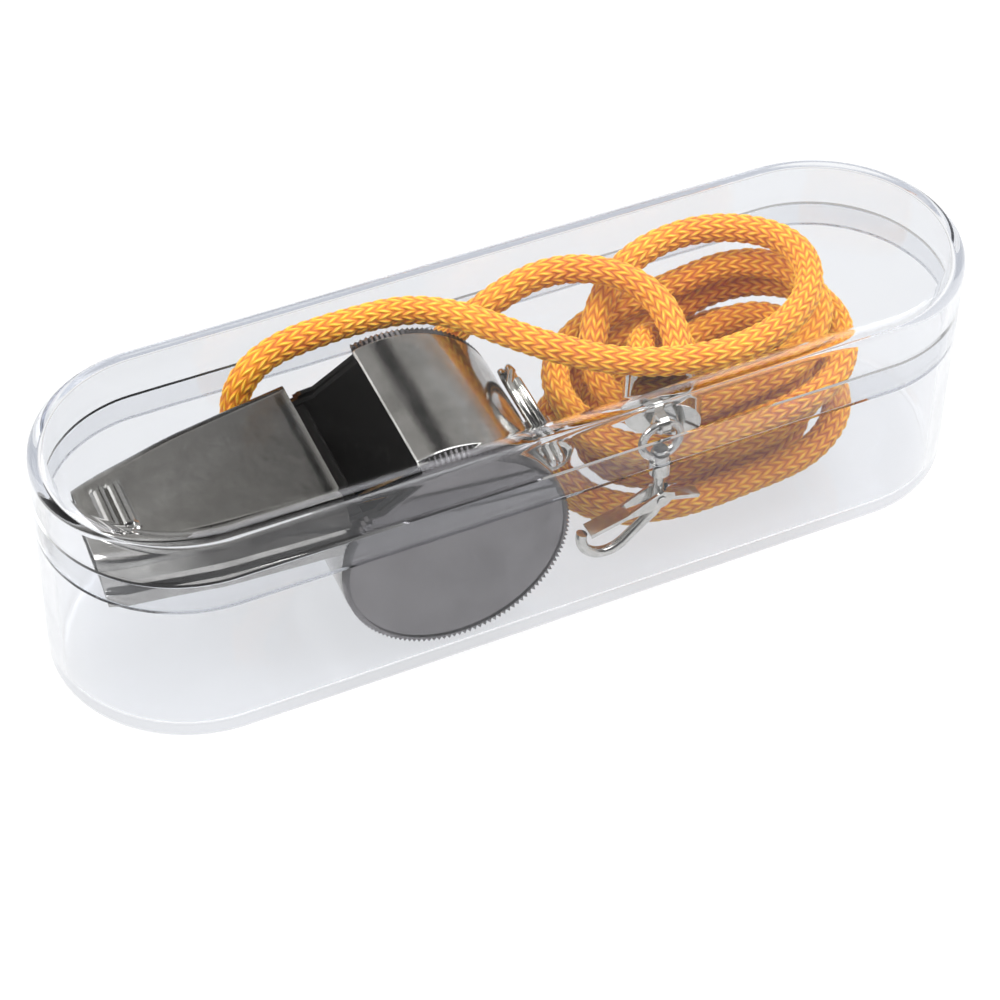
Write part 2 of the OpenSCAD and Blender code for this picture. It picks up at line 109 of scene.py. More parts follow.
def calc(tree: Tree, operation: str, *terms: Any) -> Any:
    """Adds a Math node and returns its result."""
    return put(tree, "Math", dict(enumerate(terms)), operation=operation).outputs[0]


def span(tree: Tree, value: Any, low: float, high: float, start: float = 0.0, end: float = 1.0) -> Any:
    """Maps a value between low and high to one between start and end."""
    return put(tree, "MapRange", {0: value, 1: low, 2: high, 3: start, 4: end}).outputs[0]


def mix(tree: Tree, kind: str, share: Any, first: Any, second: Any) -> Any:
    """Mixes two colours (kind RGB) or two shaders (kind Shader)."""
    return put(tree, f"Mix{kind}", {0: share, 1: first, 2: second}).outputs[0]


def noise(tree: Tree, place: Any, size_mm: float, detail: float, roughness: float = 0.5) -> Any:
    """Adds noise with features of a given size and returns its value."""
    return put(tree, "TexNoise", {
        "Vector": place, "Scale": 1 / (size_mm * MM), "Detail": detail, "Roughness": roughness}).outputs["Fac"]


def bump(tree: Tree, height: Any, strength: float, depth_mm: float, **more: Any) -> Any:
    """Adds relief from a height and returns its normal."""
    links = {"Height": height, "Strength": strength, "Distance": depth_mm * MM, **more}
    return put(tree, "Bump", links).outputs["Normal"]


def principled(tree: Tree, inputs: dict[str, Any]) -> Any:
    """Adds a Principled shader and returns its output."""
    return put(tree, "BsdfPrincipled", inputs).outputs["BSDF"]


def ramp(tree: Tree, factor: Any, stops: Stops) -> Any:
    """Adds a colour ramp.

    Args:
        tree: Node tree that gets the ramp.
        factor: Socket that drives it.
        stops: Places from 0 to 1, each with its hex colour.

    Returns:
        The ramp's colour socket.
    """
    node = put(tree, "ValToRGB", {"Fac": factor})
    bar = node.color_ramp
    while len(bar.elements) < len(stops):
        bar.elements.new(0.5)
    for element, (place, code) in zip(bar.elements, stops):
        element.position = place
        element.color = linear(code)
    return node.outputs["Color"]


class Finish:
    """A surface finish that builds its material once."""

    name: str = "finish"

    def material(self) -> bpy.types.Material:
        """Returns the material, building it the first time.

        Returns:
            The material.
        """
        found = bpy.data.materials.get(self.name)
        if found is None:
            found = bpy.data.materials.new(self.name)
            found.use_nodes = True
            tree = found.node_tree
            tree.nodes.clear()
            place = put(tree, "TexCoord").outputs["Object"]
            put(tree, "OutputMaterial", {"Surface": self.surface(tree, place)})
        return found

    def surface(self, tree: Tree, place: Any) -> Any:
        """Builds the shader.

        Args:
            tree: Node tree of the material.
            place: Socket of the object's coordinates.

        Returns:
            The shader's output.
        """
        raise NotImplementedError


@dataclass(frozen=True)
class PlatedMetal(Finish):
    """Nickel plate on brass sheet or steel wire: a mirror with faint clouds, pits and hairlines; the clouds' darker
    tint is a painted reflection.
    """

    name: str = "nickel_plated_brass"
    tint: str = "#B9B7B3"
    # Darker tint of the clouds: a painted reflection of the case.
    cloud_tint: str = "#A09E9A"
    cloud_ends: Pair = (0.35, 0.65)
    cloud_mm: float = 5.0
    roughness: float = 0.12
    roughness_shares: Pair = (1.6, 0.7)
    hairline_mm: float = 0.4
    hairline_stretch: Point = (0.15, 1.0, 1.0)
    hairline_turn: Point = (0.0, 0.3, 0.4)
    relief_mm: float = 0.012
    dent_share: float = 8.0

    def surface(self, tree: Tree, place: Any) -> Any:
        """Builds the metal.

        Args:
            tree: Node tree of the material.
            place: Socket of the object's coordinates.

        Returns:
            The shader's socket.
        """
        cloud = noise(tree, place, self.cloud_mm, 4.0, 0.6)
        stretch = put(tree, "Mapping", {
            "Vector": place, "Scale": self.hairline_stretch, "Rotation": self.hairline_turn}).outputs["Vector"]
        hair = noise(tree, stretch, self.hairline_mm, 3.0)
        rough = span(tree, cloud, 0.3, 0.7, *(share * self.roughness for share in self.roughness_shares))
        dents = bump(tree, cloud, 0.35, self.dent_share * self.relief_mm)
        fine = bump(tree, hair, 0.25, self.relief_mm, Normal=dents)
        return principled(tree, {
            "Base Color": self.tone(tree, cloud, place), "Metallic": 1.0, "Roughness": rough, "Normal": fine})

    def tone(self, tree: Tree, cloud: Any, place: Any) -> Any:
        """Gives the metal's colour, with the clouds' painted reflection.

        Args:
            tree: Node tree of the material.
            cloud: Socket of the clouds.
            place: Socket of the object's coordinates.

        Returns:
            The colour's socket.
        """
        return ramp(tree, cloud, list(zip(self.cloud_ends, (self.cloud_tint, self.tint))))


@dataclass(frozen=True)
class PlatedSteel(PlatedMetal):
    """Nickel plate on steel wire and small pressings: brighter and smoother than on the sheet."""

    name: str = "nickel_plated_steel"
    tint: str = "#D0CEC9"
    # Darker tint of the clouds: a painted reflection, as on the sheet.
    cloud_tint: str = "#BDBBB6"
    roughness: float = 0.07
    cloud_mm: float = 1.5
    relief_mm: float = 0.004


@dataclass(frozen=True)
class PressedCap(PlatedMetal):
    """Nickel plate on the pressed caps: darker and duller than on the sheet."""

    name: str = "nickel_plated_cap"
    tint: str = "#7E7B7C"
    # Darker tint of the clouds: a painted reflection, as on the sheet.
    cloud_tint: str = "#716E6F"
    roughness: float = 0.16


@dataclass(frozen=True)
class FoldedPlate(PlatedMetal):
    """Nickel plate on the turned-down sides, with a painted dark reflection along them that fades to the plain plate
    at the mouthpiece's tip.
    """

    name: str = "nickel_plate_on_the_fold"
    roughness: float = 0.14
    cloud_mm: float = 2.5
    # Painted dark reflection on the turned-down sides, with darker clouds.
    dark_reflection_tint: str = "#5A5855"
    dark_reflection_cloud: str = "#3A3836"
    # The painted dark reflection fades in between these places along X.
    plain_x_mm: float = -43.0
    dark_reflection_x_mm: float = -37.0

    def tone(self, tree: Tree, cloud: Any, place: Any) -> Any:
        """Blends from the plain plate at the tip to the painted dark reflection along the case.

        Args:
            tree: Node tree of the material.
            cloud: Socket of the clouds.
            place: Socket of the object's coordinates.

        Returns:
            The colour's socket.
        """
        along = put(tree, "SeparateXYZ", {0: place}).outputs[0]
        share = span(tree, along, self.plain_x_mm * MM, self.dark_reflection_x_mm * MM)
        # The dark ramp is the painted dark reflection.
        dark = ramp(tree, cloud, list(zip(self.cloud_ends, (self.dark_reflection_cloud, self.dark_reflection_tint))))
        return mix(tree, "RGB", share, super().tone(tree, cloud, place), dark)


@dataclass(frozen=True)
class PaintedShadeInside(Finish):
    """Painted shade inside the whistle: near-black and dull, with a few lighter flecks."""

    name: str = "painted_shade_inside"
    # Near-black painted shade for the whistle's inside, where no light reaches.
    tint: str = "#0B0A09"
    fleck: str = "#1C1A17"
    fleck_mm: float = 0.8
    pit_mm: float = 0.05

    def surface(self, tree: Tree, place: Any) -> Any:
        """Builds the painted shade.

        Args:
            tree: Node tree of the material.
            place: Socket of the object's coordinates.

        Returns:
            The shader's socket.
        """
        shade_noise = noise(tree, place, self.fleck_mm, 4.0)
        colour = ramp(tree, shade_noise, [(0.55, self.tint), (0.75, self.fleck)])
        pits = bump(tree, shade_noise, 0.3, self.pit_mm)
        return principled(tree, {"Base Color": colour, "Roughness": 0.8, "Specular IOR Level": 0.1, "Normal": pits})


@dataclass(frozen=True)
class Cork(Finish):
    """Turned natural cork: warm tan grain with dark pores."""

    name: str = "turned_cork"
    grain_mm: float = 0.9
    pore_mm: float = 1.4
    pore_depth_mm: float = 0.15

    def surface(self, tree: Tree, place: Any) -> Any:
        """Builds the cork.

        Args:
            tree: Node tree of the material.
            place: Socket of the object's coordinates.

        Returns:
            The shader's socket.
        """
        grain = put(tree, "TexVoronoi", {"Vector": place, "Scale": 1 / (self.grain_mm * MM)})
        pores = calc(tree, "MULTIPLY", grain.outputs["Distance"], noise(tree, place, self.pore_mm, 5.0))
        colour = ramp(tree, pores, [(0.08, "#6B4526"), (0.2, "#B98A58"), (0.45, "#D0A676")])
        relief = bump(tree, pores, 0.7, self.pore_depth_mm)
        return principled(tree, {"Base Color": colour, "Roughness": 0.82, "Normal": relief})


@dataclass(frozen=True)
class ClearPolystyrene(Finish):
    """Injection-moulded clear polystyrene: glass-like, with faint flow lines and handling haze."""

    name: str = "clear_polystyrene"
    tint: str = "#F2F3F5"
    gloss: str = "#B0B0B4"
    roughness: float = 0.03
    ior: float = 1.5
    flow_mm: float = 14.0
    flow_relief_mm: float = 0.25
    last_mirror: float = 1.5

    def surface(self, tree: Tree, place: Any) -> Any:
        """Builds the plastic, with a clear shader for the lamps' rays and for rays past its last mirror image.

        Args:
            tree: Node tree of the material.
            place: Socket of the object's coordinates.

        Returns:
            The shader's socket.
        """
        flow = noise(tree, place, self.flow_mm, 2.0)
        body = principled(tree, {
            "Base Color": linear(self.tint), "Roughness": self.roughness, "IOR": self.ior, "Transmission Weight": 1.0,
            "Specular Tint": linear(self.gloss), "Normal": bump(tree, flow, 0.25, self.flow_relief_mm)})
        clear = put(tree, "BsdfTransparent", {"Color": linear(self.tint)}).outputs["BSDF"]
        rays = put(tree, "LightPath").outputs
        deep = calc(tree, "GREATER_THAN", rays["Glossy Depth"], self.last_mirror)
        return mix(tree, "Shader", calc(tree, "MAXIMUM", rays["Is Shadow Ray"], deep), body, clear)


@dataclass(frozen=True)
class KnittedCord(Finish):
    """Knitted polyester neck cord: golden V stitches in columns, with painted shade, deeper orange, in the grooves
    and a painted highlight on the stitch crests.
    """

    name: str = "knitted_polyester"
    wales: int = 8
    slant: float = 1.7
    threads: int = 5
    stitch_relief_mm: float = 0.16
    filament_mm: float = 0.12
    patch_mm: float = 6.0
    glow_depth: Point = (0.0009, 0.0005, 0.0002)

    def surface(self, tree: Tree, place: Any) -> Any:
        """Builds the knit from the tube's own UV map, u once round and v in stitches.

        Args:
            tree: Node tree of the material.
            place: Socket of the object's coordinates.

        Returns:
            The shader's socket.
        """
        do = partial(calc, tree)
        uv = put(tree, "UVMap", uv_map="knit").outputs["UV"]
        split = put(tree, "SeparateXYZ", {0: uv}).outputs
        column = do("FRACT", do("MULTIPLY", split[0], float(self.wales)))
        aside = do("ABSOLUTE", do("SUBTRACT", column, 0.5))
        phase = do("ADD", split[1], do("MULTIPLY", aside, self.slant))
        ridge = do("MULTIPLY_ADD", do("COSINE", do("MULTIPLY", phase, TAU)), 0.5, 0.5)
        leg = do("MAXIMUM", do("SINE", do("MULTIPLY", aside, TAU)), 0.0)
        height = do("MULTIPLY", ridge, do("POWER", leg, 0.5))
        threads = do("SINE", do("MULTIPLY", phase, TAU * self.threads))
        fuzz = noise(tree, place, self.filament_mm, 3.0)
        patch = do("SUBTRACT", noise(tree, place, self.patch_mm, 2.0), 0.5)
        # The stitch height lightens the colour on the crests and darkens it in the grooves: painted highlight and
        # painted shade.
        tone = do("MULTIPLY_ADD", fuzz, 0.25, do("MULTIPLY", height, 0.8))
        colour = ramp(tree, do("MULTIPLY_ADD", patch, 0.35, tone), [
            (0.05, "#B24A00"), (0.35, "#DE860A"), (0.7, "#EFA818"), (1.0, "#F8CA48")])
        fine = do("MULTIPLY_ADD", threads, 0.06, do("MULTIPLY", fuzz, 0.35))
        return principled(tree, {
            "Base Color": colour, "Roughness": 0.55, "Sheen Weight": 0.35, "Sheen Roughness": 0.4,
            "Sheen Tint": linear("#FFE2A0"), "Subsurface Weight": 0.12, "Subsurface Radius": self.glow_depth,
            "Subsurface Scale": 1.0,
            "Normal": bump(tree, do("ADD", height, fine), 0.8, self.stitch_relief_mm)})


@dataclass(frozen=True)
class WhitePaper(Finish):
    """White paper under the object: it glows, so that it stays white, and keeps a faint shadow."""

    name: str = "white_paper_floor"
    tint: str = "#F2F2F2"
    glow_share: float = 0.8

    def surface(self, tree: Tree, place: Any) -> Any:
        """Builds the paper, which glows for all rays but the light's own bounces.

        Args:
            tree: Node tree of the material.
            place: Socket of the object's coordinates.

        Returns:
            The shader's socket.
        """
        paper = principled(tree, {"Base Color": linear(self.tint), "Roughness": 0.8})
        glow = put(tree, "Emission", {"Color": (1, 1, 1, 1), "Strength": 1.0}).outputs[0]
        bounce = put(tree, "LightPath").outputs["Is Diffuse Ray"]
        return mix(tree, "Shader", span(tree, bounce, 0.0, 1.0, self.glow_share, 0.0), paper, glow)


# Modelling helpers


def finish_piece(piece: Piece, body: Body, slot: Slot, finish: Finish, *nodes: str) -> None:
    """Dresses a finished piece and hangs it on its body.

    Args:
        piece: Object with its place in its mesh.
        body: Body that carries it.
        slot: Record's material slot; not used.
        finish: Finish of the whole piece, unless it has materials already.
        nodes: CAD nodes that it stands for.
    """
    if not piece.data.materials:
        piece.data.materials.append(finish.material())
    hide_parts(*nodes)
    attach(piece, body.value)
    LOG.info("%s: %d faces on %s", piece.name, len(piece.data.polygons), body.value)


def add_object(name: str, data: Any) -> Piece:
    """Makes an object of a mesh, a lamp or a camera, and links it to the scene.

    Args:
        name: Name of the object.
        data: The mesh, lamp or camera.

    Returns:
        The new object.
    """
    made = bpy.data.objects.new(name, data)
    bpy.context.scene.collection.objects.link(made)
    return made


def tube(name: str, rings: Sequence) -> Piece:
    """Makes a closed tube from rings of points.

    Args:
        name: Name of the object.
        rings: Rings of equally many points, in millimetres.

    Returns:
        The new object.
    """
    points = np.array(rings, float) * MM
    grid = np.arange(points.shape[0] * points.shape[1]).reshape(points.shape[:2])
    beside = np.roll(grid, -1, axis=1)
    walls = np.stack([grid[:-1], beside[:-1], beside[1:], grid[1:]], axis=-1).reshape(-1, 4)
    mesh = bpy.data.meshes.new(name)
    mesh.from_pydata(points.reshape(-1, 3).tolist(), [], [*walls.tolist(), grid[0, ::-1].tolist(), grid[-1].tolist()])
    return add_object(name, mesh)


def alone(piece: Piece) -> None:
    """Selects one piece alone, in object mode.

    Args:
        piece: The piece.
    """
    if bpy.context.mode != "OBJECT":
        bpy.ops.object.mode_set(mode="OBJECT")
    bpy.ops.object.select_all(action="DESELECT")
    piece.select_set(True)
    bpy.context.view_layer.objects.active = piece


def start(name: str, primitive: Callable[..., Any], **settings: Any) -> Piece:
    """Adds a primitive, puts its place into its mesh and enters edit mode with nothing selected.

    Args:
        name: Name of the piece.
        primitive: Operator that adds it.
        settings: The operator's settings, in metres.

    Returns:
        The new object.
    """
    bpy.ops.object.select_all(action="DESELECT")
    primitive(**settings)
    bpy.ops.object.transform_apply(location=True, rotation=True, scale=True)
    piece = bpy.context.active_object
    piece.name = piece.data.name = name
    bpy.ops.object.mode_set(mode="EDIT")
    bpy.ops.mesh.select_all(action="DESELECT")
    return piece


def pick(piece: Piece, test: Callable[[Any], bool], what: str = "FACE") -> None:
    """Selects the faces, edges or points in edit mode that pass a test.

    Args:
        piece: Object in edit mode.
        test: Takes a face, an edge or a point of the mesh.
        what: FACE, EDGE or VERT.
    """
    bpy.ops.mesh.select_mode(type=what)
    bpy.ops.mesh.select_all(action="DESELECT")
    bpy.ops.object.mode_set(mode="OBJECT")
    for item in {"FACE": piece.data.polygons, "EDGE": piece.data.edges, "VERT": piece.data.vertices}[what]:
        if test(item):
            item.select = True
    bpy.ops.object.mode_set(mode="EDIT")


def outward(piece: Piece) -> None:
    """Turns the faces of the active piece outwards and leaves edit mode.

    Args:
        piece: The active piece.
    """
    bpy.ops.object.mode_set(mode="EDIT")
    bpy.ops.mesh.select_all(action="SELECT")
    bpy.ops.mesh.normals_make_consistent(inside=False)
    alone(piece)


def modify(piece: Piece, kind: str, **settings: Any) -> None:
    """Adds a modifier with its settings and applies it.

    Args:
        piece: The piece.
        kind: Blender's name of the modifier.
        settings: Attributes of the modifier.
    """
    alone(piece)
    modifier = piece.modifiers.new(kind.lower(), kind)
    for name, value in settings.items():
        setattr(modifier, name, value)
    bpy.ops.object.modifier_apply(modifier=modifier.name)


def ease_edges(piece: Piece, width: float, angle: float) -> None:
    """Bevels the edges that are sharper than an angle in degrees, by a width in millimetres."""
    modify(piece, "BEVEL", width=width * MM, segments=2, limit_method="ANGLE", angle_limit=math.radians(angle))


def settle(piece: Piece, pose: Matrix = Matrix(), angle: float = SMOOTH_DEG) -> Piece:
    """Moves a piece to its place, puts that into its mesh and shades it smooth by angle.

    Args:
        piece: The piece, in edit or object mode.
        pose: Where its own frame lies in the whole.
        angle: Edges sharper than this stay sharp, in degrees.

    Returns:
        The piece.
    """
    alone(piece)
    piece.matrix_world = pose
    bpy.ops.object.transform_apply(location=True, rotation=True, scale=True)
    bpy.ops.object.shade_smooth_by_angle(angle=math.radians(angle))
    modify(piece, "WEIGHTED_NORMAL", keep_sharp=True)
    bpy.ops.object.select_all(action="DESELECT")
    return piece


def thicken(piece: Piece, outside: Callable[[Any], Vector], sheet: float, edge: float, even: bool = False) -> None:
    """Gives a folded skin its wall, inwards, and eases the wall's edges.

    Args:
        piece: Open skin in edit mode.
        outside: Takes a face and gives the way it should look.
        sheet: Thickness of the wall in millimetres.
        edge: Width of the eased edges in millimetres.
        even: True to keep the wall's thickness round a curve.
    """
    outward(piece)
    if sum(f.area * f.normal.dot(outside(f)) for f in piece.data.polygons) < 0:
        piece.data.flip_normals()
    modify(piece, "SOLIDIFY", thickness=sheet * MM, offset=-1.0, use_even_offset=even)
    ease_edges(piece, edge, FOLD_DEG)


def dress(piece: Piece, finishes: Sequence[Finish], which: Callable[[Any], int]) -> None:
    """Gives the faces of a piece different finishes.

    Args:
        piece: The piece.
        finishes: Its finishes.
        which: Takes a face and gives the number of its finish.
    """
    piece.data.materials.clear()
    for finish in finishes:
        piece.data.materials.append(finish.material())
    for face in piece.data.polygons:
        face.material_index = which(face)


def refined(name: str, node: Piece, edge: float) -> Piece:
    """Copies a CAD node's mesh, merges it, eases its edges and shades it smooth.

    Args:
        name: Name of the copy.
        node: CAD node that is copied.
        edge: Width of the eased edges in millimetres, or zero for none.

    Returns:
        The copy.
    """
    piece = add_object(name, node.data.copy())
    piece.data.materials.clear()
    alone(piece)
    bpy.ops.object.mode_set(mode="EDIT")
    bpy.ops.mesh.select_all(action="SELECT")
    bpy.ops.mesh.remove_doubles(threshold=1e-6)
    bpy.ops.mesh.dissolve_limited(angle_limit=math.radians(0.5))
    outward(piece)
    if edge:
        ease_edges(piece, edge, SMOOTH_DEG)
    return settle(piece)


# Cord


@dataclass
class NeckCord:
    """Knitted cord: both ends leave the ferrule, one lies over the whistle, and the rest is a hank."""

    diameter: float = 3.2
    case_floor: float = 1.2
    stitch_mm: float = 1.4
    sides: int = 48
    step_mm: float = 0.33
    spline_steps: int = 12
    smoothings: int = 60
    groove_mm: float = 0.2
    sway: Pairs = ((0.018, 0.37), (0.012, 0.91))
    sway_start: float = 1.3
    loops: float = 5.5
    layer_loops: float = 1.5
    layers: int = 4
    loop_rings: int = 24
    lay_gap: float = 0.4
    hank_step: float = 4.6
    hank_end_r: float = 11.0
    hank_left: float = 4.2
    hank_right: float = 38.4
    hank_y: float = 0.7
    hank_lift: float = 5.6
    lift_power: float = 1.5
    lean_share: float = 0.15
    draw_in_share: float = 0.07
    finish: KnittedCord = field(default_factory=KnittedCord)
    exits: tuple[Point, Point] = ((15.85, -6.66, 20.6), (12.65, -4.81, 20.6))
    over_run: tuple[Point, ...] = (
        (17.4, -4, 20.7), (18.5, -0.4, 21.8), (18.1, 3.2, 23.4), (15.8, 6.7, 24.4),
        (12.2, 9.5, 24.5), (8, 11.1, 23.8), (3.4, 11.5, 21.8), (-7, 11.4, 16),
        (-16.2, 11, 11.9), (-20.6, 10.8, 11.4), (-25.3, 10.6, 13.3), (-27.2, 10.6, 18),
        (-25.3, 10.8, 22.6), (-20.6, 11.2, 24.4), (-10, 11.4, 24.5), (-5.2, 9.8, 24.6),
        (-1.6, 6.4, 24.6), (1.6, 1.8, 24.6), (5.6, -2.8, 24.6), (10, -6.3, 24.6),
        (15.6, -8.6, 24.6), (21.6, -9.2, 24.6), (27.4, -7.8, 24.6), (32.2, -4.4, 24.5),
        (34.8, 0.2, 24.4), (34.8, 4.8, 24.2), (32, 8.8, 23.8), (27.6, 11.2, 23.4),
        (23, 11.7, 22.8), (18.8, 11.1, 21.8), (15.4, 9.2, 20.4), (12.7, 6.5, 18.6),
        (11.1, 3.6, 16.8),
    )
    under_run: tuple[Point, ...] = (
        (33.7, 3.9, 7.8), (31.4, 5.6, 8), (28.4, 5, 8.5), (25.7, 3.3, 10.3), (23.3, 2.2, 13.2),
        (21, 2.5, 16), (18.6, 2.9, 18), (16, 1.9, 19.4), (14.4, -0.6, 20.3), (13.5, -3.1, 20.6),
    )

    def hank_point(self, t: float) -> Point:
        """Gives a point of the hank.

        Args:
            t: Place along it, in loops from its top layer down.

        Returns:
            The point in millimetres.
        """
        pitch = self.diameter + 2 * self.lay_gap
        bottom = self.case_floor + self.diameter / 2 + self.lay_gap
        layer = math.floor(t / self.layer_loops)
        wound = min(t - self.layer_loops * layer, 1.0)
        climb = (t - self.layer_loops * layer - wound) / (self.layer_loops - 1)
        z = bottom + (self.layers - 1) * pitch - pitch * (layer + climb)
        r = self.hank_end_r - self.hank_step * (1 - wound if layer % 2 == 0 else wound)
        left = self.hank_left + self.lean_share * (z - bottom)
        leg = self.hank_right - left - 2 * self.hank_end_r
        quarter = math.pi * self.hank_end_r / 2
        s = (t - math.floor(t)) * (2 * leg + 4 * quarter)
        ahead = min(max(s - quarter, 0.0), leg)
        back = min(max(s - 3 * quarter - leg, 0.0), leg)
        turn = math.pi * (1 + (s - ahead - back) / quarter / 2)
        x, y = left + self.hank_end_r + ahead - back + r * math.cos(turn), r * math.sin(turn)
        from_right = (self.hank_right - x) / (self.hank_right - self.hank_left)
        rise = max(0.0, (x - left) / (self.hank_right - left)) ** self.lift_power
        return x, self.hank_y + y * (1 - self.draw_in_share * from_right), z + self.hank_lift * rise

    def centreline(self) -> np.ndarray:
        """Gives the cord's whole centreline, evenly spaced, in millimetres.

        Returns:
            The line's points.
        """
        hank = [self.hank_point(i / self.loop_rings) for i in range(int(self.loops * self.loop_rings) + 1)]
        line = np.array([self.exits[0], *self.over_run, *hank, *self.under_run, self.exits[1]], float)
        padded = np.vstack([2 * line[0] - line[1], line, 2 * line[-1] - line[-2]])
        steps = np.linspace(0, 1, self.spline_steps, endpoint=False)[:, None]
        curve = [b + ((c - a) * steps + (2 * a - 5 * b + 4 * c - d) * steps**2
                      + (3 * b - a - 3 * c + d) * steps**3) / 2
                 for a, b, c, d in zip(padded, padded[1:], padded[2:], padded[3:])]
        smooth = self.evenly(np.vstack([*curve, line[-1:]]), self.step_mm)
        for _ in range(self.smoothings):
            smooth[1:-1] = (smooth[:-2] + 2 * smooth[1:-1] + smooth[2:]) / 4
        return self.evenly(smooth, self.step_mm)

    @staticmethod
    def evenly(line: np.ndarray, step: float) -> np.ndarray:
        """Resamples a line at even steps.

        Args:
            line: Points along it.
            step: Distance between the new points.

        Returns:
            The new points, both ends kept.
        """
        far = np.concatenate([[0], np.cumsum(np.linalg.norm(np.diff(line, axis=0), axis=1))])
        at = np.linspace(0, far[-1], int(round(far[-1] / step)) + 1)
        return np.stack([np.interp(at, far, line[:, k]) for k in range(3)], axis=1)

    def knit(self, line: np.ndarray) -> Piece:
        """Sweeps the knitted tube along the centreline, with its own UV map.

        Args:
            line: Points of the centreline in millimetres.

        Returns:
            The tube's object.
        """
        way = np.gradient(line, axis=0)
        way /= np.linalg.norm(way, axis=1)[:, None]
        side = np.zeros_like(way)
        m = np.array([0.0, 0.0, 1.0])
        for i, t in enumerate(way):
            m = m - (m @ t) * t
            m /= np.linalg.norm(m)
            side[i] = m
        over = np.cross(way, side)
        rings, sides = len(line), self.sides
        turn = np.arange(sides) / sides
        stitch = np.arange(rings) * self.step_mm / self.stitch_mm
        aside = np.abs((turn * self.finish.wales) % 1.0 - 0.5)
        phase = stitch[:, None] + aside[None] * self.finish.slant
        leg = np.sqrt(np.clip(np.sin(TAU * aside), 0, None))[None]
        height = (0.5 + 0.5 * np.cos(TAU * phase)) * leg
        (slow, slow_rate), (fast, fast_rate) = self.sway
        sway = slow * np.sin(stitch * slow_rate) + fast * np.sin(stitch * fast_rate + self.sway_start)
        radius = self.diameter / 2 * (1 + sway[:, None]) - self.groove_mm * (1 - height)
        ring = (np.cos(turn * TAU)[None, :, None] * side[:, None] + np.sin(turn * TAU)[None, :, None] * over[:, None])
        piece = tube("neck_cord", line[:, None] + radius[..., None] * ring)
        piece.data.shade_smooth()
        uv = np.zeros((rings - 1, sides, 4, 2))
        uv[..., 0] = np.stack([turn, turn + 1 / sides, turn + 1 / sides, turn], axis=-1)[None]
        uv[..., 1] = np.stack([stitch[:-1], stitch[:-1], stitch[1:], stitch[1:]], axis=-1)[:, None]
        flat = np.zeros(len(piece.data.loops) * 2)
        flat[: uv.size] = uv.ravel()
        piece.data.uv_layers.new(name="knit").data.foreach_set("uv", flat)
        return piece

    def build(self) -> None:
        line = self.centreline()
        piece = self.knit(line)
        finish_piece(piece, Body.WHISTLE, Slot.CORD, self.finish, "cord_run", "cord_hank")


# Case


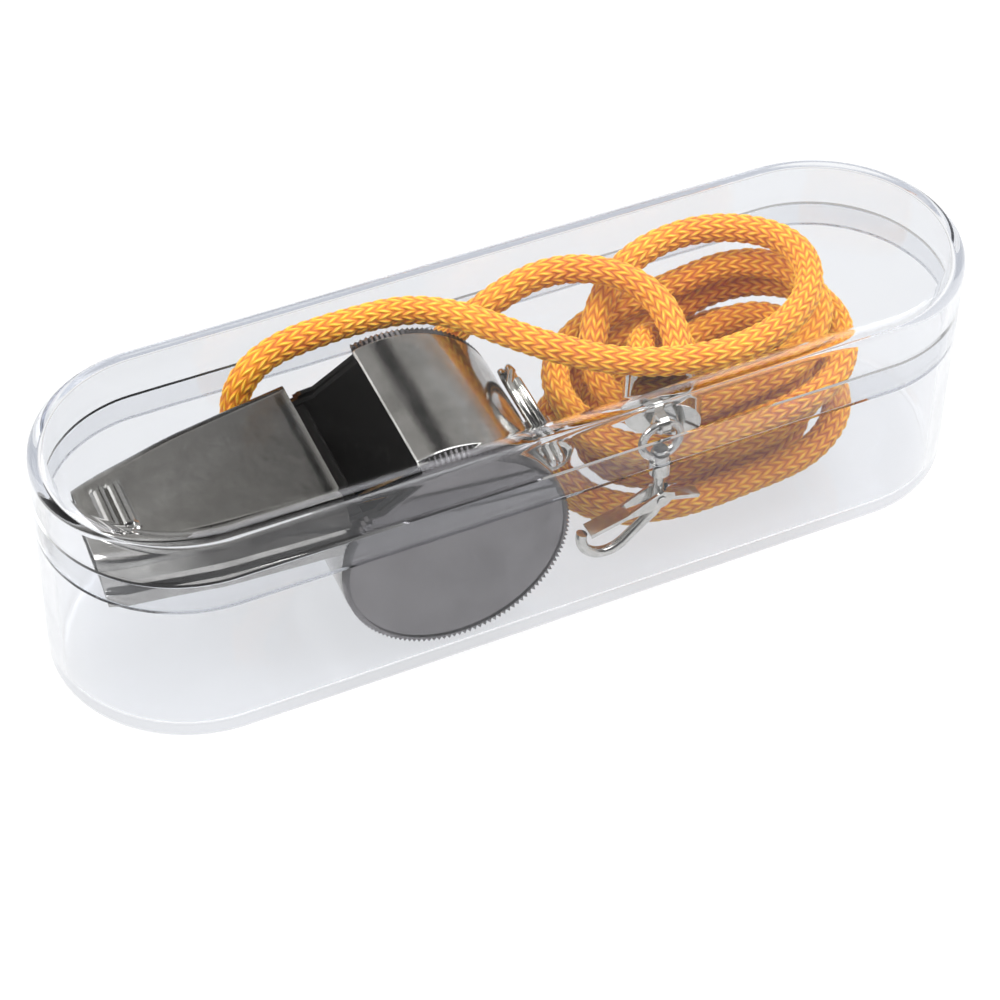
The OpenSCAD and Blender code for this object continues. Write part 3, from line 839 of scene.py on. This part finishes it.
@dataclass
class ClearCase:
    """Round-ended box in two parts: a base with a raised inner rim, and a lid that slips over the rim."""

    end_r: float = 15.0
    end_x: float = 36.6
    wall: float = 1.3
    floor: float = 1.2
    seam_z: float = 17.9
    rim_h: float = 3.2
    rim_t: float = 0.6
    rim_gap: float = 0.08
    top_z: float = 27.6
    top_t: float = 1.1
    lid_round: float = 1.6
    foot_round: float = 0.9
    seam_round: float = 0.12
    floor_round: float = 0.7
    ceiling_round: float = 0.6
    ends: int = 194
    finish: ClearPolystyrene = field(default_factory=ClearPolystyrene)

    def slab(self, name: str, low: float, high: float) -> Piece:
        """Adds a round-ended slab and leaves it in edit mode.

        Args:
            name: Name of the piece.
            low: Height of its underside.
            high: Height of its top.

        Returns:
            The slab's object.
        """
        piece = start(name, bpy.ops.mesh.primitive_cylinder_add, vertices=self.ends, radius=self.end_r * MM,
                      depth=(high - low) * MM, end_fill_type="NGON", location=(0, 0, (low + high) / 2 * MM))
        for sign in (-1, 1):
            pick(piece, lambda v, s=sign: s * v.co.x > 0, "VERT")
            bpy.ops.transform.translate(value=(sign * self.end_x * MM, 0, 0))
        return piece

    def level_face(self, piece: Piece, z: float, way: int) -> None:
        """Selects the slab's level face at a height, the one that looks up (way 1) or down (way -1)."""
        pick(piece, lambda f: abs(f.center.z - z * MM) < 1e-6 and f.normal.z * way > 0.9
             and len(f.vertices) >= self.ends)

    @staticmethod
    def step(inset: float, lift: float) -> None:
        """Insets the selected face and pushes what is left along Z."""
        bpy.ops.mesh.inset(thickness=inset * MM, use_even_offset=True)
        bpy.ops.mesh.extrude_region_move(TRANSFORM_OT_translate={"value": (0, 0, lift * MM)})

    def round_edges(self, piece: Piece, z: float, radius: float, inner: bool, segments: int) -> None:
        """Bevels the level edge loop at a height, on the outside or round the cavity.

        Args:
            piece: Object in edit mode.
            z: Height of the loop.
            radius: Radius of the rounding.
            inner: True for the cavity's own loop.
            segments: Steps of the rounding.
        """
        limit = self.end_r - self.wall + self.rim_gap / 2

        def on_loop(edge: Any) -> bool:
            """True for an edge that lies in the loop.

            Args:
                edge: Edge of the piece.

            Returns:
                True when it lies there.
            """
            ends = [piece.data.vertices[i].co / MM for i in edge.vertices]
            aside = [math.hypot(max(abs(p.x) - self.end_x, 0), p.y) for p in ends]
            return all(abs(p.z - z) < 0.01 for p in ends) and all((a < limit) == inner for a in aside)

        pick(piece, on_loop, "EDGE")
        bpy.ops.mesh.bevel(offset=radius * MM, segments=segments, profile=0.5, clamp_overlap=True)

    def build(self) -> None:
        """Builds the base and the lid."""
        rim_r = self.end_r - self.wall + self.rim_t
        rim_top = self.seam_z + self.rim_h
        piece = self.slab("case_base_shell", 0, self.seam_z)
        self.level_face(piece, self.seam_z, 1)
        self.step(self.end_r - rim_r, self.rim_h)
        self.step(self.rim_t, self.floor - rim_top)
        self.round_edges(piece, self.floor, self.floor_round, True, 4)
        self.round_edges(piece, 0, self.foot_round, False, 5)
        self.round_edges(piece, rim_top, self.seam_round, False, 2)
        outward(piece)
        finish_piece(settle(piece), Body.BASE, Slot.CLEAR, self.finish, "case_base")

        piece = self.slab("case_lid_shell", self.seam_z, self.top_z)
        self.level_face(piece, self.seam_z, -1)
        self.step(self.end_r - rim_r - self.rim_gap, self.rim_h + self.rim_gap)
        ceiling = self.top_z - self.top_t
        self.step(self.rim_t + self.rim_gap, ceiling - rim_top - self.rim_gap)
        self.round_edges(piece, ceiling, self.ceiling_round, True, 4)
        self.round_edges(piece, self.top_z, self.lid_round, False, 6)
        outward(piece)
        finish_piece(settle(piece), Body.LID, Slot.CLEAR, self.finish, "case_lid")


# Whistle


@dataclass
class Whistle:
    """Pea whistle of folded sheet: mouthpiece shells, barrel strip, side plates, milled caps, lug, ring and pea."""

    nodes: dict[str, Piece]
    place: Point = (-12.1, -2.8829, 13.75)
    yaw_deg: float = 3.0
    pitch_deg: float = 6.5
    barrel_r: float = 12.3
    strip_half: float = 9.05
    sheet: float = 0.6
    edge: float = 0.28
    top_h: float = 11.05
    cad_top_h: float = 12.48
    cad_low_h: float = 9.0
    flange: float = 3.0
    fold_r: float = 1.4
    fold_steps: int = 6
    # Faces of the top plate leaning sideways more than this get the painted dark reflection.
    dark_reflection_tilt: float = 0.08
    sides: Pairs = ((10.33, 9.4), (23.51, 7.95), (27.99, 6.9), (32.47, 6.0), (34.3, 5.2))
    cad_sides: Pairs = ((10.33, 9.4), (23.51, 9.21), (27.99, 7.73), (32.47, 5.5), (34.3, 4.4))
    corner: float = 1.5
    notch_u: float = 6.5
    ease: float = 0.35
    notch: Pairs = ((-10.3, 8.2), (-7.1, 8.2), (-2.3, 10.6), (-2.45, 14), (-10.3, 14))
    bead_at: Pair = (31.85, 30.35)
    bead_r: float = 0.85
    bead_h: float = 0.6
    bead_half: float = 3.6
    bead_end: float = 0.6
    bead_run: Point = (29.3, 33.1, 0.15)
    plain_to: float = 29.1
    plain_cells: int = 14
    cells_across: int = 48
    lip_deg: float = 101.5
    strip_end_deg: float = 158.0
    strip_cells: int = 240
    slot_half: float = 8.14
    bottom_h: float = 4.55
    cap_r: float = 12.25
    cap_t: float = 0.9
    cap_in: float = 9.07
    teeth: int = 132
    tooth: float = 0.26
    rim: float = 0.6
    dish: float = 0.2
    dish_rings: Pair = (1.2, 4.5)
    dish_swell: float = 0.06
    lug_at: float = 14.27
    lug_turn_deg: float = 3.0
    ring_r: float = 5.0
    ring_wire_r: float = 0.45
    ring_wire_sides: int = 20
    ring_steps: int = 72
    ring_lean_deg: float = 109.52
    coil_gap: float = 0.864
    cross_deg: float = 20.0
    cross_steps: int = 5
    pea_r: float = 5.2
    pea_rough: float = 0.05
    pea_smooth_deg: float = 80.0
    nickel: PlatedMetal = field(default_factory=PlatedMetal)
    bright: PlatedMetal = field(default_factory=PlatedSteel)
    # Painted shade for the inside faces, the windway ramp and the notches' cut faces.
    shaded: PaintedShadeInside = field(default_factory=PaintedShadeInside)
    # Painted dark reflection on the top plate's turned-down sides.
    folded: FoldedPlate = field(default_factory=FoldedPlate)
    pressed: PlatedMetal = field(default_factory=PressedCap)
    cork: Cork = field(default_factory=Cork)

    def pose(self) -> Matrix:
        """Gives the whistle's own frame: its axis level across the case, its mouthpiece drooping."""
        return (Matrix.Translation(Vector(self.place) * MM) @ Matrix.Rotation(math.radians(-self.yaw_deg), 4, "Z")
                @ Matrix.Rotation(math.radians(-self.pitch_deg), 4, "Y"))

    def half_width(self, u: float) -> float:
        """Gives the mouthpiece's half width.

        Args:
            u: Distance from the barrel's axis in millimetres.

        Returns:
            Half the width, with its corners drawn out a little.
        """
        ease = min(self.corner, u - self.sides[0][0], self.sides[-1][0] - u)
        return float(np.interp([u - ease, u, u + ease], *zip(*self.sides)).mean())

    def follow_photo(self, piece: Piece) -> None:
        """Draws a copied CAD piece in and down to the mouthpiece's plan and height in the photograph.

        Args:
            piece: Copy of a node, with its place in its mesh.
        """
        pose, back = self.pose(), self.pose().inverted()
        for vert in piece.data.vertices:
            spot = back @ vert.co
            u = -spot.x / MM
            spot.y *= float(np.interp(u, *zip(*self.sides)) / np.interp(u, *zip(*self.cad_sides)))
            if u > self.notch_u and spot.z > self.cad_low_h * MM:
                spot.z -= (self.cad_top_h - self.top_h) * MM
            vert.co = pose @ spot

    def bead(self, u: float) -> float:
        """Gives how far the bite bead stands up at a distance from the barrel's axis."""
        drop = self.bead_r - self.bead_h
        return max(math.sqrt(max(self.bead_r**2 - (u - c) ** 2, 0.0)) - drop for c in self.bead_at)

    def cut_notch(self, piece: Piece) -> None:
        """Cuts the window's side notches out of a piece that stands in its place.

        Args:
            piece: The piece, whose second finish is the cut's.
        """
        face, ease = self.cap_in + self.cap_t, self.ease
        rings = ((-face - ease, ease), (ease - face, -ease), (face - ease, -ease), (face + ease, ease))
        cutter = tube("notch_cutter", [[(x, y, z - drop) for x, z in self.notch] for y, drop in rings])
        # The cutter's middle walls carry the second finish, so the cut faces get the painted shade; its slanted outer
        # walls keep the first finish.
        for wall in cutter.data.polygons:
            wall.material_index = int(abs(wall.center.y) < face / 2 * MM)
        alone(cutter)
        outward(cutter)
        settle(cutter, self.pose())
        modify(piece, "BOOLEAN", object=cutter, operation="DIFFERENCE", solver="EXACT")
        bpy.data.objects.remove(cutter)
        settle(piece)

    def plan(self, piece: Piece) -> None:
        """Draws a square grid out to the mouthpiece's plan and lifts its bead.

        Args:
            piece: The grid, in edit mode.
        """
        plain = np.linspace(self.sides[0][0], self.plain_to, self.plain_cells)
        columns = sorted({round(v.co.x, 6) for v in piece.data.vertices}, reverse=True)
        for x, u in zip(columns, [*plain, *np.arange(*self.bead_run), self.sides[-1][0]]):
            pick(piece, lambda v, x=x: abs(v.co.x - x) < 1e-4, "VERT")
            flat = self.half_width(u) - self.fold_r
            bpy.ops.transform.resize(value=(1, flat * MM, 1), center_override=(0, 0, 0))
            bpy.ops.transform.translate(value=(-u * MM - x, 0, 0))
            lift = self.bead(u)
            for half in (self.bead_half, self.bead_half - self.bead_end) if lift > 0 else ():
                pick(piece, lambda v, u=u, half=half: abs(v.co.x + u * MM) < 1e-5 and abs(v.co.y) < half * MM, "VERT")
                bpy.ops.transform.translate(value=(0, 0, lift / 2 * MM))

    def fold(self, piece: Piece, side: int) -> None:
        """Turns one long side of the plate down, round a bend and then straight.

        Args:
            piece: The plate, in edit mode.
            side: -1 or 1, the side's sign along Y.
        """

        def on_side(edge: Any) -> bool:
            """True for an edge of the side."""
            ends = [piece.data.vertices[i].co / MM for i in edge.vertices]
            return all(abs(side * p.y - self.half_width(-p.x) + self.fold_r) < 1e-3 for p in ends)

        pick(piece, on_side, "EDGE")
        turns = np.linspace(0, math.pi / 2, self.fold_steps + 1)
        outs = [*np.diff(np.sin(turns)) * self.fold_r, 0.0]
        downs = [*np.diff(np.cos(turns)) * self.fold_r, self.fold_r - self.flange]
        for out, down in zip(outs, downs):
            bpy.ops.mesh.extrude_edges_move(TRANSFORM_OT_translate={"value": (0, side * out * MM, down * MM)})

    def top_shell(self) -> None:
        """Folds the top plate: a grid drawn out to the plan, with a bead, turned-down sides and its wall."""
        columns = self.plain_cells + len(np.arange(*self.bead_run))
        piece = start("mouthpiece_top", bpy.ops.mesh.primitive_grid_add, size=2.0, location=(0, 0, self.top_h * MM),
                      x_subdivisions=columns, y_subdivisions=self.cells_across)
        self.plan(piece)
        for side in (-1, 1):
            self.fold(piece, side)
        thicken(piece, lambda f: Vector((0, 0, 1)), self.sheet, self.edge)
        # Sideways-leaning faces get the painted dark reflection; the plate's underside gets the painted shade.
        beside, under = self.bead_half * MM, (self.top_h - 2 * self.sheet) * MM
        dress(piece, (self.nickel, self.shaded, self.folded), lambda f: 2 if abs(f.center.y) > beside
              and abs(f.normal.y) > self.dark_reflection_tilt else int(f.normal.z < -0.5 and f.center.z > under))
        finish_piece(settle(piece, self.pose()), Body.WHISTLE, Slot.NICKEL, self.nickel, "top_shell")

    def barrel(self) -> None:
        """Rolls the barrel strip: an open tube cut away at the window and drawn in between the side plates."""
        piece = start(
            "barrel_band", bpy.ops.mesh.primitive_cylinder_add, vertices=self.strip_cells, rotation=LAID,
            radius=self.barrel_r * MM, depth=2 * self.strip_half * MM, end_fill_type="NOTHING")
        pick(piece, lambda f: self.lip_deg < math.degrees(math.atan2(f.center.z, f.center.x)) < self.strip_end_deg)
        bpy.ops.mesh.delete(type="FACE")
        pick(piece, lambda v: v.co.x < -self.notch_u * MM and v.co.z > self.bottom_h * MM, "VERT")
        bpy.ops.transform.resize(value=(1, self.slot_half / self.strip_half, 1), center_override=(0, 0, 0))
        thicken(piece, lambda f: f.center, self.sheet, self.edge, even=True)
        # The strip's inner faces get the painted shade.
        dress(piece, (self.nickel, self.shaded), lambda f: int(
            f.normal.dot(Vector((f.center.x, 0, f.center.z)).normalized()) < -0.5))
        finish_piece(settle(piece, self.pose()), Body.WHISTLE, Slot.NICKEL, self.nickel, "barrel_strip")

    def caps(self) -> None:
        """Presses the two side caps: a disc with a milled rim and a shallow dish, copied to the far side."""
        out = -(self.cap_in + self.cap_t)
        front = start(
            "milled_cap_front", bpy.ops.mesh.primitive_cylinder_add, vertices=2 * self.teeth, rotation=LAID,
            radius=self.cap_r * MM, depth=self.cap_t * MM, location=(0, (out + self.cap_t / 2) * MM, 0))
        pick(front, lambda f: f.normal.y < -0.9)
        bpy.ops.mesh.inset(thickness=self.rim * MM)
        bpy.ops.mesh.extrude_region_move(TRANSFORM_OT_translate={"value": (0, self.dish * MM, 0)})
        for ring in self.dish_rings:
            bpy.ops.mesh.inset(thickness=ring * MM)
        bpy.ops.transform.translate(value=(0, -self.dish_swell * MM, 0))

        def in_tooth(v: Any) -> bool:
            """True for every second point of the rim.

            Args:
                v: Point of the cap.

            Returns:
                True when it is cut in.
            """
            turn = math.atan2(v.co.z, v.co.x) * self.teeth / math.pi
            limit = self.cap_r - (self.tooth + self.rim) / 2
            return math.hypot(v.co.x, v.co.z) > limit * MM and round(turn) % 2 == 1

        pick(front, in_tooth, "VERT")
        share = 1 - self.tooth / self.cap_r
        bpy.ops.transform.resize(value=(share, 1, share), center_override=(0, out * MM, 0))
        pick(front, lambda v: in_tooth(v) and v.co.y < (out + self.cap_t / 2) * MM, "VERT")
        # The far cap is copied here: its teeth aren't slanted.
        rear = add_object("milled_cap_rear", front.data.copy())
        rear.data.transform(Matrix.Rotation(math.pi, 4, "Z"))
        bpy.ops.transform.translate(value=(0, self.tooth * MM, 0))
        outward(front)
        for piece, node in ((front, "side_cap_front"), (rear, "side_cap_rear")):
            settle(piece, self.pose())
            # The second finish is the painted shade for the notch's cut faces.
            dress(piece, (self.pressed, self.shaded), lambda f: 0)
            self.cut_notch(piece)
            finish_piece(piece, Body.WHISTLE, Slot.NICKEL, self.pressed, node)

    def ring(self) -> None:
        """Coils the split ring: one turn, a short crossing and a second turn beside the first."""
        piece = start(
            "split_ring_coil", bpy.ops.mesh.primitive_circle_add, vertices=self.ring_wire_sides, rotation=LAID,
            radius=self.ring_wire_r * MM, fill_type="NGON", location=(self.ring_r * MM, 0, -self.coil_gap / 2 * MM))
        bpy.ops.mesh.select_all(action="SELECT")
        about = {"center": (0, 0, 0), "axis": (0, 0, 1)}
        turn = math.radians(360 - self.cross_deg)
        bpy.ops.mesh.spin(steps=self.ring_steps, angle=turn, **about)
        for _ in range(self.cross_steps):
            bpy.ops.mesh.spin(steps=1, angle=math.radians(self.cross_deg / self.cross_steps), **about)
            bpy.ops.transform.translate(value=(0, 0, self.coil_gap / self.cross_steps * MM))
        bpy.ops.mesh.spin(steps=self.ring_steps, angle=turn, **about)
        bpy.ops.mesh.select_all(action="SELECT")
        bpy.ops.mesh.remove_doubles(threshold=1e-6)
        outward(piece)
        lug = self.pose() @ Matrix.Rotation(math.radians(self.lug_turn_deg), 4, "Y") @ Matrix.Translation(
            (self.lug_at * MM, 0, 0))
        lean = Matrix.Rotation(math.radians(-self.ring_lean_deg), 4, "Y") @ Matrix.Translation(
            (self.ring_r * MM, 0, 0))
        finish_piece(settle(piece, lug @ lean), Body.RING, Slot.STEEL, self.bright, "split_ring")

    def folded_parts(self) -> None:
        """Eases the lower shell, the windway floor, the side plates and the lug."""
        # The windway ramp is given the painted shade all over.
        for name, node, finish in (
                ("mouthpiece_bottom", "lower_shell", self.nickel), ("windway_ramp", "windway_floor", self.shaded),
                ("side_wall_front", "side_plate_front", self.nickel),
                ("side_wall_rear", "side_plate_rear", self.nickel), ("folded_lug", "ring_lug", self.bright)):
            piece = refined(name, self.nodes[node], self.edge)
            if node != "ring_lug":
                self.follow_photo(piece)
                settle(piece)
            if node.startswith("side_plate"):
                way = self.pose().to_3x3() @ Vector((0, 1 if node.endswith("front") else -1, 0))
                # All but the side walls' outward faces get the painted shade.
                dress(piece, (finish, self.shaded), lambda f, way=way: int(f.normal.dot(way) > -0.5))
                self.cut_notch(piece)
            finish_piece(piece, Body.WHISTLE, Slot.NICKEL, finish, node)

    def pea(self) -> None:
        """Turns the cork pea: a ball with an uneven cut surface, round the middle of the CAD's."""
        points = [v.co for v in self.nodes["cork_pea"].data.vertices]
        piece = start("cork_ball", bpy.ops.mesh.primitive_ico_sphere_add, subdivisions=5, radius=self.pea_r * MM,
                      location=sum(points, Vector()) / len(points))
        bpy.ops.mesh.select_all(action="SELECT")
        bpy.ops.transform.vertex_random(offset=self.pea_rough * MM, seed=3)
        bpy.ops.mesh.vertices_smooth(factor=0.5, repeat=2)
        finish_piece(settle(piece, angle=self.pea_smooth_deg), Body.PEA, Slot.CORK, self.cork, "cork_pea")

    def build(self) -> None:
        """Builds all the whistle's pieces."""
        for make in (self.top_shell, self.barrel, self.caps, self.ring, self.folded_parts, self.pea):
            make()


# Hook


@dataclass
class SnapHook:
    """Snap hook, swivel and cord ferrule: bright wire and pressed steel."""

    nodes: dict[str, Piece]
    steel: PlatedMetal = field(default_factory=PlatedSteel)

    def build(self) -> None:
        """Eases each piece of the hook and the ferrule."""
        for name, node, body, edge in (
                ("hook_wire", "hook_body", Body.HOOK, 0.1), ("hook_gate_leaf", "spring_gate", Body.GATE, 0.07),
                ("hook_rivet", "gate_rivet", Body.HOOK, 0.05), ("swivel_pin", "swivel_stud", Body.WHISTLE, 0.06),
                ("swivel_loop", "swivel_eye", Body.WHISTLE, 0.0),
                ("crimped_ferrule", "cord_ferrule", Body.WHISTLE, 0.18)):
            finish_piece(refined(name, self.nodes[node], edge), body, Slot.STEEL, self.steel, node)


# Studio


@dataclass
class Studio:
    """Camera of the photograph, white floor, soft lamps and a bright room."""

    eye: Point = (-105.835, -209.284, 227.610)
    target: Point = (0.0, 0.0, 13.8)
    roll_deg: float = 1.330
    sensor_mm: float = 36.0
    focal_share: float = 3.0196
    shift: Pair = (-0.01268, -0.06637)
    lamps: tuple[tuple[str, Point, float, float], ...] = (
        ("key_lamp", (-420, 60, 380), 0.25, 2.2), ("top_lamp", (200, -70, 560), 0.5, 4.2))
    floor_m: float = 6.0
    floor_z: float = -0.0001
    room_light: float = 0.6
    room_levels: Stops = (
        (0.0, "#F4F4F4"), (0.5, "#E4E4E2"), (0.62, "#CCCAC6"), (0.8, "#D8D6D2"), (0.95, "#FFFFFF"))
    dark_spot: Point = (0.2, 0.69, 0.695)
    dark_spot_ends: Pair = (0.06, 0.17)
    dark_spot_tint: str = "#1C1B1A"
    bright_spot: Point = (-0.65, 0.68, 0.3)
    bright_spot_ends: Pair = (0.2, 0.35)
    bright_spot_strength: float = 3.0
    dark_side_tint: str = "#2A2A2C"
    dark_side_front: Pair = (-0.45, -0.15)
    dark_side_bottom: Pair = (0.15, 0.35)
    dark_side_top: Pair = (0.7, 0.85)

    def aim(self, name: str, data: Any, spot: Point, roll_deg: float = 0.0) -> Piece:
        """Adds a camera or a lamp that looks at the object.

        Args:
            name: Its name.
            data: Its data.
            spot: Its place in millimetres.
            roll_deg: Its turn about the line of sight.

        Returns:
            The new object.
        """
        made = add_object(name, data)
        eye = Vector(spot) * MM
        look = (Vector(self.target) * MM - eye).to_track_quat("-Z", "Y").to_matrix().to_4x4()
        made.matrix_world = Matrix.Translation(eye) @ look @ Matrix.Rotation(math.radians(roll_deg), 4, "Z")
        return made

    def camera(self) -> None:
        """Adds the camera, at the photograph's own angle."""
        data = bpy.data.cameras.new("camera")
        data.sensor_width = self.sensor_mm
        data.lens = self.focal_share * self.sensor_mm
        data.shift_x, data.shift_y = self.shift
        data.clip_start, data.clip_end = 0.01, 10.0
        bpy.context.scene.camera = self.aim("camera", data, self.eye, self.roll_deg)

    def floor(self) -> None:
        """Adds the white paper floor."""
        bpy.ops.object.select_all(action="DESELECT")
        bpy.ops.mesh.primitive_plane_add(size=self.floor_m, location=(0, 0, self.floor_z))
        plane = bpy.context.active_object
        plane.name = "floor"
        plane.data.materials.append(WhitePaper().material())

    def world(self) -> None:
        """Makes the room: white to the camera, even light on the object, and in the metal a dark camera side."""
        world = bpy.data.worlds.new("room")
        bpy.context.scene.world = world
        world.use_nodes = True
        tree = world.node_tree
        tree.nodes.clear()

        def glow(tint: Any, strength: Any) -> Any:
            """Adds a Background of a colour and a strength."""
            return put(tree, "Background", {"Color": tint, "Strength": strength}).outputs[0]

        def away(spot: Point) -> Any:
            """Gives how far the ray's direction is from another."""
            return put(tree, "VectorMath", {0: way, 1: spot}, operation="DISTANCE").outputs["Value"]

        way = put(tree, "TexCoord").outputs["Generated"]
        _, across, up = put(tree, "SeparateXYZ", {0: way}).outputs
        patch = span(tree, away(self.dark_spot), *self.dark_spot_ends, 1.0, 0.0)
        grade = mix(tree, "RGB", patch, ramp(tree, up, self.room_levels), linear(self.dark_spot_tint))
        front = span(tree, across, *self.dark_side_front, 1.0, 0.0)
        height = calc(tree, "MULTIPLY", span(tree, up, *self.dark_side_bottom),
                      span(tree, up, *self.dark_side_top, 1.0, 0.0))
        side = calc(tree, "MULTIPLY", front, height)
        shine = span(tree, away(self.bright_spot), *self.bright_spot_ends, self.bright_spot_strength, 1.0)
        room = glow(mix(tree, "RGB", side, grade, linear(self.dark_side_tint)), shine)
        rays = put(tree, "LightPath").outputs
        mirror = calc(tree, "MAXIMUM", rays["Is Glossy Ray"], rays["Is Transmission Ray"])
        white = (1, 1, 1, 1)
        seen = mix(tree, "Shader", mirror, glow(white, self.room_light), room)
        both = mix(tree, "Shader", rays["Is Camera Ray"], seen, glow(white, 1.0))
        put(tree, "OutputWorld", {"Surface": both})

    def build(self) -> None:
        """Sets the camera, the floor, the lamps and the room."""
        self.camera()
        self.floor()
        for name, spot, size, watts in self.lamps:
            data = bpy.data.lights.new(name, "AREA")
            data.energy, data.size = watts, size
            self.aim(name, data, spot)
        self.world()
        bpy.context.scene.view_settings.view_transform = "Standard"


def main() -> None:
    """Builds the scene, piece by piece."""
    logging.basicConfig(level=logging.INFO, format="%(message)s")
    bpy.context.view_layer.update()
    bpy.ops.object.select_all(action="DESELECT")
    Studio().build()
    Whistle(frame["nodes"]).build()
    SnapHook(frame["nodes"]).build()
    NeckCord().build()
    ClearCase().build()
    bpy.context.view_layer.update()


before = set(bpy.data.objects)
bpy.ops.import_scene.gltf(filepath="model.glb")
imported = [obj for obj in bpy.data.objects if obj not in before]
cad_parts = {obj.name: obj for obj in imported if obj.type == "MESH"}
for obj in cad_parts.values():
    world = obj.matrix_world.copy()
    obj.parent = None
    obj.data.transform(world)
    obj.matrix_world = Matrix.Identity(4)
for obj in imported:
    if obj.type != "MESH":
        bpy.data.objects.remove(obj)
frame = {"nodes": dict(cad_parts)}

if __name__ == "__main__":
    main()
